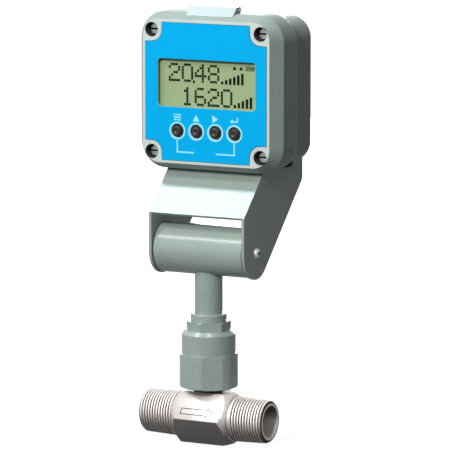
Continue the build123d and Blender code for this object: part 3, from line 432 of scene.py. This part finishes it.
PAINT = srgb(157, 171, 163)
FACE_SHEEN = srgb(206, 217, 210)
WELL_SHADE = srgb(84, 80, 76)
RECESS_SHADE = srgb(22, 21, 24)
PAINT_GLOSS = 0.32
BRACKET_FINISH = dict(colour=PAINT, rough=0.22, grain=800, contrast=0.08, bump=0.2)
BOX_FINISH = dict(colour=PAINT, rough=0.5, grain=700, edge=0.4 * MM, contrast=0.1, bump=0.3,
                  specular=0.12)
LABEL_FINISH = dict(rough=0.5, grain=2600, edge=0.0, contrast=0.02, bump=0.05)
COATINGS = {
    "riser_paint": dict(colour=PAINT, rough=0.26, grain=800, contrast=0.1, bump=0.25,
                        specular=PAINT_GLOSS),
    "bracket_paint": dict(specular=PAINT_GLOSS, **BRACKET_FINISH),
    "box_paint": BOX_FINISH,
    "seal_rubber": dict(colour=srgb(26, 25, 25), rough=0.7, grain=2200),
    "washer_plastic": dict(colour=srgb(70, 72, 70), rough=0.5, grain=1800),
    "board_green": dict(colour=srgb(28, 96, 58), rough=0.4, grain=1800),
    "key_rubber": dict(colour=srgb(38, 30, 28), rough=0.36, grain=2600, edge=0.2 * MM),
    "switch_plastic": dict(colour=srgb(34, 34, 36), rough=0.5, grain=1800),
    "cell_wrap": dict(colour=srgb(150, 152, 156), rough=0.3, grain=1800),
    "terminal_plastic": dict(colour=srgb(40, 130, 84), rough=0.45, grain=1800),
    "gland_plastic": dict(colour=srgb(48, 48, 50), rough=0.5, grain=1500),
    "label_film": dict(colour=srgb(0, 176, 238), specular=0.1, **LABEL_FINISH),
    "label_print": dict(colour=srgb(158, 240, 255), specular=0.25, **LABEL_FINISH),
    "label_edge_shadow": dict(colour=srgb(20, 70, 92), rough=0.6, grain=2400, edge=0.0, contrast=0.05,
                      bump=0.05, specular=0.1),
    "display_glass": dict(colour=srgb(176, 189, 148), rough=0.55, grain=2400, edge=0.0,
                          contrast=0.03, bump=0.02, specular=0.2),
    "display_ink": dict(colour=srgb(14, 18, 10), rough=0.6, grain=2400, edge=0.0,
                        contrast=0.04, bump=0.02, specular=0.05),
    "engraved_line": dict(colour=srgb(58, 54, 52), rough=0.9, grain=2400, edge=0.0,
                          contrast=0.05, bump=0.05, specular=0.0),
}
materials = {name: coated(name, **settings) for name, settings in COATINGS.items()}
materials["body_steel"] = threaded_steel("body_steel", srgb(222, 215, 211), rough=0.45)
materials["turbine_steel"] = turned_steel("turbine_steel", srgb(200, 202, 205), rough=0.3,
                                          stretch=COARSE_TURNED)
materials["screw_steel"] = turned_steel("screw_steel", srgb(196, 196, 200), rough=0.3,
                                        stretch=FINE_TURNED, metallic=0.85)
materials["insert_brass"] = turned_steel("insert_brass", srgb(214, 178, 104), rough=0.35,
                                         stretch=COARSE_TURNED, metallic=0.9)
materials["window_clear"] = clear_window("window_clear")

# Nodes that need more than their slot's finish
special = {
    "enclosure_lid": faced_paint("lid_paint", front_mm("enclosure_lid")),
    "lid_screws": slotted_steel("lid_screw_steel", srgb(186, 188, 196), front_mm("lid_screws")),
    "hinge_block": coated("hinge_paint", specular=0.18, **BRACKET_FINISH),
    "pivot_screws": socket_steel("pivot_screw_steel", srgb(206, 206, 204), "pivot_screws"),
}

for part in frame["record"]["subparts"]:
    mesh = nodes[part["node"]].data
    mesh.materials.clear()
    mesh.materials.append(special.get(part["node"], materials[part["material_slot"]]))


# Meshes

PRINT = 0.04
RING_STEPS = 48


def finished_mesh(name, shape):
    """Mesh with the faces of a bmesh, which is freed."""
    mesh = bpy.data.meshes.new(name)
    shape.to_mesh(mesh)
    shape.free()
    return mesh


def make_piece(name, mesh, material, body):
    """Object from a mesh, with its material and the body that it rides on."""
    mesh.materials.append(material)
    piece = bpy.data.objects.new(name, mesh)
    bpy.context.scene.collection.objects.link(piece)
    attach(piece, body)
    return piece


def add_slab(shape, front, back):
    """Closed slab between two outlines with the same number of places, in metres."""
    upper = [shape.verts.new(place) for place in front]
    lower = [shape.verts.new(place) for place in back]
    shape.faces.new(upper)
    shape.faces.new(list(reversed(lower)))
    for i in range(len(upper)):
        j = (i + 1) % len(upper)
        shape.faces.new((upper[j], upper[i], lower[i], lower[j]))


def front_print(name, outlines, back_y, material):
    """Printed shapes on a plane that faces -Y: each outline is a list of X and Z."""
    shape = bmesh.new()
    for outline in outlines:
        front, back = ([(x * MM, y * MM, z * MM) for x, z in outline]
                       for y in (back_y - PRINT, back_y))
        add_slab(shape, front, back)
    bmesh.ops.recalc_face_normals(shape, faces=shape.faces)
    return make_piece(name, finished_mesh(name, shape), material, "monitor")


def bar(x0, z0, x1, z1):
    """Rectangle between two corners."""
    return [(x0, z0), (x1, z0), (x1, z1), (x0, z1)]


def moved(outlines, x, z):
    """Outlines moved by X and Z."""
    return [[(x + across, z + up) for across, up in outline] for outline in outlines]


def ring_parts(x, z, inner_r, outer_r):
    """Ring round a place, as a row of four-sided shapes."""
    parts = []
    for i in range(RING_STEPS):
        a = 2 * math.pi * i / RING_STEPS
        b = 2 * math.pi * (i + 1) / RING_STEPS
        parts.append([(x + inner_r * math.cos(a), z + inner_r * math.sin(a)),
                      (x + outer_r * math.cos(a), z + outer_r * math.sin(a)),
                      (x + outer_r * math.cos(b), z + outer_r * math.sin(b)),
                      (x + inner_r * math.cos(b), z + inner_r * math.sin(b))])
    return parts


# Label: rings round the keys, a sign over each, and lines that link the outer keys

RING_INNER = 5.35
RING_OUTER = 6.6
SIGN_RISE = 9.9
SIGNS = {
    "menu_button": [bar(-3.0, lift - 0.45, 3.0, lift + 0.45) for lift in (-1.8, 0.0, 1.8)],
    "up_button": [[(-2.8, -2.4), (2.8, -2.4), (0.0, 2.5)]],
    "right_button": [[(-2.3, -2.8), (2.4, 0.0), (-2.3, 2.8)]],
    "enter_button": [bar(2.2, -0.4, 3.1, 2.3), bar(-1.2, -1.3, 3.1, -0.4),
                     [(-1.2, -2.6), (-1.2, 0.9), (-3.4, -0.85)]],
}
LINK_HALF = 0.55
LINK_OVERLAP = 0.2
LINK_DROP = 8.6
# X where the level run of each line ends
LINK_ENDS = {"menu_button": -9.4, "enter_button": 8.7}

key_places = {}
for key in SIGNS:
    middle = middle_mm(key)
    key_places[key] = (middle[0], middle[2])


def label_print(name, outlines):
    """Pale print on the label."""
    front_print(name, outlines, front_mm("face_label"), materials["label_print"])


for key, (x, z) in key_places.items():
    label_print(key.replace("button", "ring"), ring_parts(x, z, RING_INNER, RING_OUTER))
for key, (x, z) in key_places.items():
    label_print(key.replace("button", "sign"), moved(SIGNS[key], x, z + SIGN_RISE))

link_lines = []
for key, inner_x in LINK_ENDS.items():
    outer_x, z = key_places[key]
    link_top = z - RING_OUTER + LINK_OVERLAP
    link_bottom = link_top - LINK_DROP
    run_start = outer_x - math.copysign(LINK_HALF, outer_x)
    link_lines.append(bar(outer_x - LINK_HALF, link_bottom, outer_x + LINK_HALF, link_top))
    link_lines.append(bar(min(inner_x, run_start), link_bottom - LINK_HALF * 2,
                          max(inner_x, run_start), link_bottom))
    link_lines.append(bar(outer_x - LINK_HALF, link_bottom - LINK_HALF * 2,
                          outer_x + LINK_HALF, link_bottom))
label_print("link_lines", link_lines)

EDGE_SHADOW_WIDTH = 0.5
WELD = 0.002
FLATNESS = 0.01


def outline_strip(node, width):
    """Strip outside the outline of a flat node's back, as a row of four-sided shapes."""
    source = bmesh.new()
    source.from_mesh(nodes[node].data)
    bmesh.ops.remove_doubles(source, verts=source.verts, dist=WELD * MM)
    back = max(v.co.y for v in source.verts)
    rim = [e for e in source.edges
           if all(abs(v.co.y - back) < FLATNESS * MM for v in e.verts)
           and len({round(abs(f.normal.y), 1) for f in e.link_faces}) > 1]
    links = {}
    for edge in rim:
        a, b = edge.verts
        links.setdefault(a, []).append(b)
        links.setdefault(b, []).append(a)
    start = min(links, key=lambda v: v.co.x)
    loop = [start]
    following = links[start][0]
    while following is not start:
        loop.append(following)
        following = [v for v in links[following] if v is not loop[-2]][0]
    places = [Vector((v.co.x, v.co.z)) / MM for v in loop]
    source.free()
    area = sum(a.x * b.y - b.x * a.y for a, b in zip(places, places[1:] + places[:1]))
    turn = 1 if area > 0 else -1
    outer = []
    for i, place in enumerate(places):
        before = (place - places[i - 1]).normalized()
        after = (places[(i + 1) % len(places)] - place).normalized()
        aside = (before + after).normalized()
        outer.append(place + Vector((aside.y, -aside.x)) * turn * width)
    parts = []
    for i, place in enumerate(places):
        j = (i + 1) % len(places)
        parts.append([tuple(place), tuple(outer[i]), tuple(outer[j]), tuple(places[j])])
    return parts


# Painted shadow: a dark strip round the label's outline
front_print("label_edge_shadow", outline_strip("face_label", EDGE_SHADOW_WIDTH), box_mm("face_label")[1].y,
            materials["label_edge_shadow"])


# Display: dot digits and signs on the glass

DIGITS = {
    "0": ("01110", "10001", "10001", "10001", "10001", "10001", "01110"),
    "1": ("00100", "01100", "00100", "00100", "00100", "00100", "01110"),
    "2": ("01110", "10001", "00001", "00110", "01000", "10000", "11111"),
    "4": ("00010", "00110", "01010", "10010", "11111", "00010", "00010"),
    "6": ("01110", "10000", "10000", "11110", "10001", "10001", "01110"),
    "8": ("01110", "10001", "10001", "01110", "10001", "10001", "01110"),
}
DIGIT_ROWS = 7
DIGIT_COLUMNS = 5
DOT = 1.94
DOT_GAP = 0.16
ADVANCE = 10.8
# The decimal point: its width in dots, and how far it hangs below the lowest dots
POINT_WIDTH = 0.8
POINT_HANG_BOTTOM = 0.6
POINT_HANG_TOP = 0.4
POINTER_WIDTH = 3.2
POINTER_HEIGHT = 3.0


def dot_digits(text, left, top):
    """Square dots of a row of digits; a point sits low, before the digit that follows it."""
    dots = []
    x = left
    for sign in text:
        if sign == ".":
            point = x - (ADVANCE - DIGIT_COLUMNS * DOT) / 2 - DOT / 2
            dots.append(bar(point, top - DIGIT_ROWS * DOT - POINT_HANG_BOTTOM,
                            point + DOT * POINT_WIDTH,
                            top - (DIGIT_ROWS - 1) * DOT - POINT_HANG_TOP))
            continue
        for row, line in enumerate(DIGITS[sign]):
            for column, mark in enumerate(line):
                if mark == "1":
                    x0 = x + column * DOT
                    z1 = top - row * DOT
                    dots.append(bar(x0, z1 - DOT + DOT_GAP, x0 + DOT - DOT_GAP, z1))
        x += ADVANCE
    return dots


def small_frame(x0, z0, x1, z1, line):
    """Outline of a rectangle, as four bars."""
    return [bar(x0, z0, x1, z0 + line), bar(x0, z1 - line, x1, z1),
            bar(x0, z0 + line, x0 + line, z1 - line), bar(x1 - line, z0 + line, x1, z1 - line)]


def bar_row(count, left, bottom, width, height, step, rise=0.0):
    """Row of upright bars, each higher than the last by a rise."""
    return [bar(left + i * step, bottom, left + width + i * step, bottom + height + i * rise)
            for i in range(count)]


def pointer(left, bottom):
    """Small triangle that points up."""
    return [(left, bottom), (left + POINTER_WIDTH, bottom),
            (left + POINTER_WIDTH / 2, bottom + POINTER_HEIGHT)]


def display_print(name, outlines):
    """Dark print on the display."""
    front_print(name, outlines, front_mm("lcd_module"), materials["display_ink"])


display_print("upper_digits", dot_digits("20.48", left=-32.6, top=259.8))
display_print("lower_digits", dot_digits("1620", left=-21.9, top=242.6))
rate_bars = bar_row(6, left=10.6, bottom=246.0, width=2.1, height=2.0, step=3.3, rise=1.3)
total_bars = bar_row(5, left=21.0, bottom=229.2, width=2.1, height=2.4, step=3.3, rise=1.5)
battery_case = small_frame(31.0, 256.6, 37.6, 260.0, line=0.5)
battery_cells = bar_row(3, left=32.1, bottom=257.5, width=1.1, height=1.6, step=1.7)
battery_tip = bar(37.6, 257.6, 38.3, 259.0)
display_print("display_signs", rate_bars + total_bars + battery_case + battery_cells
              + [battery_tip, pointer(20.2, 256.9), pointer(25.6, 256.9)])


# Meter body with cut threads, in place of the plain one

PITCH = 25.4 / 11.5
THREAD_DEPTH = 1.55
THREAD_STEPS = 120
LEAD_TURNS = 2
FADE_TURNS = 0.5
END_CHAMFER = 1.5
SEAM = 0.03
# One pitch of the thread: share of the pitch, and share of the depth
PROFILE = [(0.0, 0.0), (0.36, 0.0), (0.54, 1.0), (0.8, 1.0)]
PLAIN_CONE_R = 13.0
END_FACE = 0.01
BODY_WELD = 0.004
SHARP_ANGLE = math.radians(24)


def cone_radius(x):
    """Radius of the thread's crests at a distance from the body's middle."""
    return THREAD_LARGE_R - TAPER * (x - THREAD_START)


def thread_envelope(x):
    """Radius that the thread stays within: its cone, and the chamfer at its end."""
    return min(cone_radius(x), cone_radius(THREAD_END) - END_CHAMFER + (THREAD_END - x))


def thread_columns():
    """Rows of (x, radius) round the thread, each a step further along the helix."""
    turns = math.ceil((THREAD_END - THREAD_START) / PITCH)
    columns = []
    for step in range(THREAD_STEPS):
        column = []
        for turn in range(-LEAD_TURNS, turns + 1):
            for share, depth in PROFILE:
                x = THREAD_START + PITCH * (turn + share + step / THREAD_STEPS)
                if x <= THREAD_START + SEAM or x >= THREAD_END - SEAM:
                    x = min(max(x, THREAD_START + SEAM), THREAD_END - SEAM)
                    column.append((x, thread_envelope(x)))
                else:
                    fade = min(1.0, (x - THREAD_START) / (FADE_TURNS * PITCH))
                    column.append((x, min(cone_radius(x) - depth * fade * THREAD_DEPTH,
                                          thread_envelope(x))))
        columns.append(column)
    return columns


def add_thread(shape, side):
    """Helical thread surface at one end of the body; side is 1 or -1."""
    columns = thread_columns()
    grid = []
    for step, column in enumerate(columns):
        angle = 2 * math.pi * step / THREAD_STEPS
        y = math.cos(angle)
        z = math.sin(angle)
        grid.append([shape.verts.new((side * x * MM, side * y * r * MM, z * r * MM))
                     for x, r in column])
    for step in range(THREAD_STEPS):
        here = grid[step]
        following = grid[(step + 1) % THREAD_STEPS]
        # A full turn along the helix is one profile further in the first column
        jump = len(PROFILE) if step == THREAD_STEPS - 1 else 0
        for k in range(len(here) - 1 - jump):
            shape.faces.new((here[k], here[k + 1], following[k + 1 + jump],
                             following[k + jump]))


def is_plain_cone(face):
    """Whether a face of the CAD body lies where the cut thread goes."""
    middle = face.calc_center_median() / MM
    return (THREAD_START + END_FACE < abs(middle.x) < THREAD_END - END_FACE
            and math.hypot(middle.y, middle.z) > PLAIN_CONE_R)


body_shape = bmesh.new()
body_shape.from_mesh(nodes["meter_body"].data)
bmesh.ops.delete(body_shape, geom=[face for face in body_shape.faces if is_plain_cone(face)],
                 context="FACES")
for side in (1, -1):
    add_thread(body_shape, side)
bmesh.ops.remove_doubles(body_shape, verts=body_shape.verts, dist=BODY_WELD * MM)
open_edges = [e for e in body_shape.edges if e.is_boundary]
for seam_x in (THREAD_START, THREAD_END, -THREAD_START, -THREAD_END):
    seam = [e for e in open_edges
            if all(abs(v.co.x / MM - seam_x) < 2 * SEAM for v in e.verts)]
    bmesh.ops.bridge_loops(body_shape, edges=seam)
bmesh.ops.recalc_face_normals(body_shape, faces=body_shape.faces)
body_mesh = finished_mesh("threaded_body", body_shape)
body_mesh.shade_smooth()
body_mesh.set_sharp_from_angle(angle=SHARP_ANGLE)
threaded_body = make_piece("threaded_body", body_mesh, materials["body_steel"],
                           "meter")
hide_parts("meter_body")


# Flow arrow: an outline on the body's upper front flat

FLAT_SLOPE = math.radians(60)
ARROW_TOP = 0.03
ARROW_WIDTH = 0.6
ARROW_LIFT = -4.4
ARROW = [(-13.2, 2.2), (8.4, 2.2), (8.4, 3.7), (13.2, 0.0), (8.4, -3.7), (8.4, -2.2),
         (-13.2, -2.2)]


def on_flat(along, across, lift):
    """Place over the upper front flat: X, a distance up the flat and a height off it."""
    normal = Vector((0, -math.sin(FLAT_SLOPE), math.cos(FLAT_SLOPE)))
    up = Vector((0, math.cos(FLAT_SLOPE), math.sin(FLAT_SLOPE)))
    return (Vector((along, 0, 0)) + normal * (BODY_HIGH.z + lift) + up * across) * MM


def flat_line(shape, start, end, width):
    """Thin bar on the flat between two places."""
    forward = (end - start).normalized()
    ahead = forward * width / 2
    aside = Vector((-forward.y, forward.x)) * width / 2
    corners = [start - ahead + aside, start - ahead - aside, end + ahead - aside,
               end + ahead + aside]
    add_slab(shape, [on_flat(c.x, c.y, ARROW_TOP) for c in corners],
             [on_flat(c.x, c.y, 0.0) for c in corners])


arrow_shape = bmesh.new()
arrow_places = [Vector((along, across + ARROW_LIFT)) for along, across in ARROW]
for start, end in zip(arrow_places, arrow_places[1:] + arrow_places[:1]):
    flat_line(arrow_shape, start, end, ARROW_WIDTH)
bmesh.ops.recalc_face_normals(arrow_shape, faces=arrow_shape.faces)
make_piece("flow_arrow", finished_mesh("flow_arrow", arrow_shape), materials["engraved_line"],
           "meter")


# Camera, from the photograph's viewing angle; distances are in metres from here on

AZIMUTH = 28.0
ELEVATION = 8.3
LENS = 300.0
SENSOR = 36.0
FRAME_WIDTH = 0.3316
CLIP_END = 20.0
AIM = Vector((1.0, 23.5, 139.0)) * MM


def direction(azimuth, elevation):
    """Direction by its azimuth from -Y towards +X and its height, in degrees."""
    across = math.radians(azimuth)
    up = math.radians(elevation)
    return Vector((math.sin(across) * math.cos(up), -math.cos(across) * math.cos(up),
                   math.sin(up)))


def place_looking(name, data, aim, away, distance):
    """Camera or light at a distance from a place, in a direction, and turned to the place."""
    thing = bpy.data.objects.new(name, data)
    bpy.context.scene.collection.objects.link(thing)
    thing.location = aim + away * distance
    thing.rotation_mode = "QUATERNION"
    thing.rotation_quaternion = (-away).to_track_quat("-Z", "Y")
    return thing


camera_data = bpy.data.cameras.new("camera")
camera_data.lens = LENS
camera_data.sensor_width = SENSOR
camera_data.clip_end = CLIP_END
bpy.context.scene.camera = place_looking("camera", camera_data, AIM,
                                         direction(AZIMUTH, ELEVATION),
                                         FRAME_WIDTH * LENS / SENSOR)


# Light

NEUTRAL = (1, 1, 1)
FRONT_RIGHT = (42.5, 38.5)
# Name, azimuth, elevation, distance, size, power and colour of each soft lamp
LAMPS = [
    ("key", -38, 46, 1.8, 0.3, 10.0, (0.97, 0.985, 1.0)),
    ("overhead", -72.5, 61, 1.6, 0.3, 9.0, (0.74, 0.87, 1.0)),
    ("top", 28, 81.7, 1.6, 0.12, 4.0, NEUTRAL),
    ("front", 4, 30, 2.0, 0.3, 26.0, NEUTRAL),
    ("right_fill", *FRONT_RIGHT, 1.8, 0.15, 1.5, NEUTRAL),
    ("back", 198, 6, 2.0, 0.8, 28.0, NEUTRAL),
]
for name, azimuth, elevation, distance, size, power, colour in LAMPS:
    lamp = bpy.data.lights.new(name, "AREA")
    lamp.shape = "SQUARE"
    lamp.size = size
    lamp.energy = power
    lamp.color = colour
    place_looking(name, lamp, AIM, direction(azimuth, elevation), distance)

SPOT_AIM = Vector((12.0, 0.0, 6.0)) * MM
SPOT_DISTANCE = 1.2
spot = bpy.data.lights.new("body_spot", "SPOT")
spot.energy = 4.0
spot.spot_size = math.radians(7.5)
spot.spot_blend = 0.6
spot.shadow_soft_size = 0.08
place_looking("body_spot", spot, SPOT_AIM, direction(*FRONT_RIGHT), SPOT_DISTANCE)


# World and floor: white to the camera, and dim as light on the object

WHITE = (1, 1, 1, 1)
AMBIENT = 0.03
MIRRORED_SKY = 1.0
MIRRORED_FLOOR = 0.45
FLOOR_SIZE = 30.0
FLOOR_GAP = 0.3 * MM
FLOOR_GREY = (0.12, 0.12, 0.12, 1)
# The floor's glow near the object and away from it, and where near and away are
FLOOR_GLOW = (0.88, 1.0)
GLOW_REACH = (0.2, 0.8)


def seen_rays(tree, mirrored):
    """1 for camera and transmission rays, a share for glossy rays, 0 for the rest."""
    paths = tree.nodes.new("ShaderNodeLightPath")
    glossy = math_node(tree, "MULTIPLY", paths.outputs["Is Glossy Ray"], mirrored)
    either = math_node(tree, "MAXIMUM", paths.outputs["Is Camera Ray"], glossy)
    return math_node(tree, "MAXIMUM", either, paths.outputs["Is Transmission Ray"])


world = bpy.data.worlds.new("studio")
bpy.context.scene.world = world
world.use_nodes = True
sky = world.node_tree
background = sky.nodes["Background"]
background.inputs["Color"].default_value = WHITE
sky.links.new(spread(sky, seen_rays(sky, MIRRORED_SKY), AMBIENT, 1.0, start=0.0, end=1.0),
              background.inputs["Strength"])

floor_shape = bmesh.new()
bmesh.ops.create_grid(floor_shape, x_segments=1, y_segments=1, size=FLOOR_SIZE)
floor_material, floor_tree, floor_shader = new_material("floor")
floor_shader.inputs["Base Color"].default_value = FLOOR_GREY
floor_shader.inputs["Roughness"].default_value = 0.9
floor_shader.inputs["Specular IOR Level"].default_value = 0.1
floor_shader.inputs["Emission Color"].default_value = WHITE
floor_places = floor_tree.nodes.new("ShaderNodeTexCoord")
from_middle = add_node(floor_tree, "ShaderNodeVectorMath", operation="LENGTH")
floor_tree.links.new(floor_places.outputs["Object"], from_middle.inputs[0])
glow = spread(floor_tree, from_middle.outputs["Value"], *FLOOR_GLOW, *GLOW_REACH)
floor_tree.links.new(
    math_node(floor_tree, "MULTIPLY", glow, seen_rays(floor_tree, MIRRORED_FLOOR)),
    floor_shader.inputs["Emission Strength"])
floor_mesh = finished_mesh("floor", floor_shape)
floor_mesh.materials.append(floor_material)
floor = bpy.data.objects.new("floor", floor_mesh)
floor.location = (0, 0, cad_low.z - FLOOR_GAP)
bpy.context.scene.collection.objects.link(floor)

bpy.context.scene.view_settings.view_transform = "Standard"
